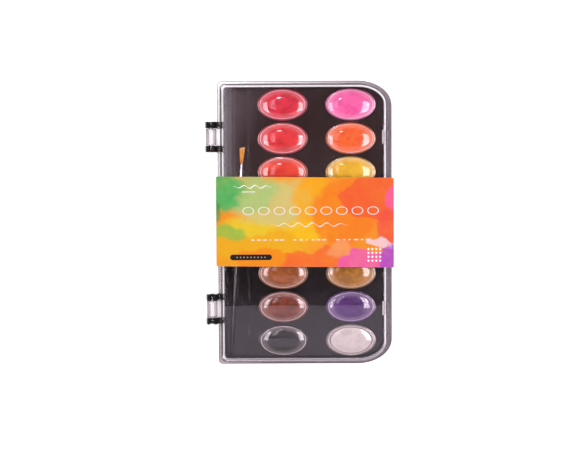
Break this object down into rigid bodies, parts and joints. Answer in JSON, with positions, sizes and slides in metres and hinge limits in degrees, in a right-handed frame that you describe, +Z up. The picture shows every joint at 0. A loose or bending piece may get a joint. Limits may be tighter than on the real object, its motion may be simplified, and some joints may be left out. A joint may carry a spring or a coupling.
{
  "type": "watercolour paint set",
  "caption": "Hinged clear-lidded plastic case with oval pans of watercolour in a black tray, a brush in a trough and a card sleeve round the middle.",
  "frame": {"origin": "under the middle of the closed set, on the surface it stands on", "axes": "+Z up out of the lid, +Y along the case, hinges on the -X side, the lid opens from the +X side"},
  "size_m": [0.1404, 0.213, 0.0177],
  "materials": {
    "black_plastic": "gloss",
    "deck_plastic": "satin gloss",
    "clear_plastic": "clear gloss",
    "pan_plastic": "satin",
    "handle_lacquer": "gloss lacquer",
    "ferrule_metal": "polished",
    "bristle_hair": "hair",
    "sleeve_card": "coated card",
    "paint_left_1": "moist paint",
    "paint_left_2": "moist paint",
    "paint_left_3": "moist paint",
    "paint_left_4": "moist paint",
    "paint_left_5": "moist paint",
    "paint_left_6": "moist paint",
    "paint_left_7": "moist paint",
    "paint_left_8": "moist paint",
    "paint_right_1": "moist paint",
    "paint_right_2": "moist paint",
    "paint_right_3": "moist paint",
    "paint_right_4": "moist paint",
    "paint_right_5": "moist paint",
    "paint_right_6": "moist paint",
    "paint_right_7": "moist paint",
    "paint_right_8": "moist paint"
  },
  "bodies": {
    "base": {"tray": "black_plastic", "brush_trough": "deck_plastic", "well_deck": "deck_plastic", "pan_left_1": "pan_plastic", "pan_left_2": "pan_plastic", "pan_left_3": "pan_plastic", "pan_left_4": "pan_plastic", "pan_left_5": "pan_plastic", "pan_left_6": "pan_plastic", "pan_left_7": "pan_plastic", "pan_left_8": "pan_plastic", "pan_right_1": "pan_plastic", "pan_right_2": "pan_plastic", "pan_right_3": "pan_plastic", "pan_right_4": "pan_plastic", "pan_right_5": "pan_plastic", "pan_right_6": "pan_plastic", "pan_right_7": "pan_plastic", "pan_right_8": "pan_plastic", "paint_left_1": "paint_left_1", "paint_left_2": "paint_left_2", "paint_left_3": "paint_left_3", "paint_left_4": "paint_left_4", "paint_left_5": "paint_left_5", "paint_left_6": "paint_left_6", "paint_left_7": "paint_left_7", "paint_left_8": "paint_left_8", "paint_right_1": "paint_right_1", "paint_right_2": "paint_right_2", "paint_right_3": "paint_right_3", "paint_right_4": "paint_right_4", "paint_right_5": "paint_right_5", "paint_right_6": "paint_right_6", "paint_right_7": "paint_right_7", "paint_right_8": "paint_right_8"},
    "cover": {"lid": "clear_plastic"},
    "brush": {"brush_handle": "handle_lacquer", "brush_ferrule": "ferrule_metal", "brush_bristles": "bristle_hair"},
    "card_front": {"sleeve_front": "sleeve_card"},
    "card_back": {"sleeve_back": "sleeve_card"}
  },
  "joints": [
    {"name": "lid_hinge", "type": "hinge", "parent": "base", "child": "cover", "pos_m": [-0.06588, 0, 0.009], "axis": [0, -1, 0], "range_deg": [0, 180]},
    {"name": "sleeve_slide", "type": "slide", "parent": "cover", "child": "card_front", "axis": [0, 1, 0], "range_m": [-0.0195, 0.0175]},
    {"name": "sleeve_back_slide", "type": "slide", "parent": "base", "child": "card_back", "axis": [0, 1, 0], "range_m": [-0.0195, 0.0175]},
    {"name": "brush_slide", "type": "slide", "parent": "base", "child": "brush", "axis": [0, 1, 0], "range_m": [-0.0003, 0.041]}
  ],
  "couplings": [
    {"joint": "sleeve_back_slide", "follows": "sleeve_slide", "ratio": 1}
  ]
}
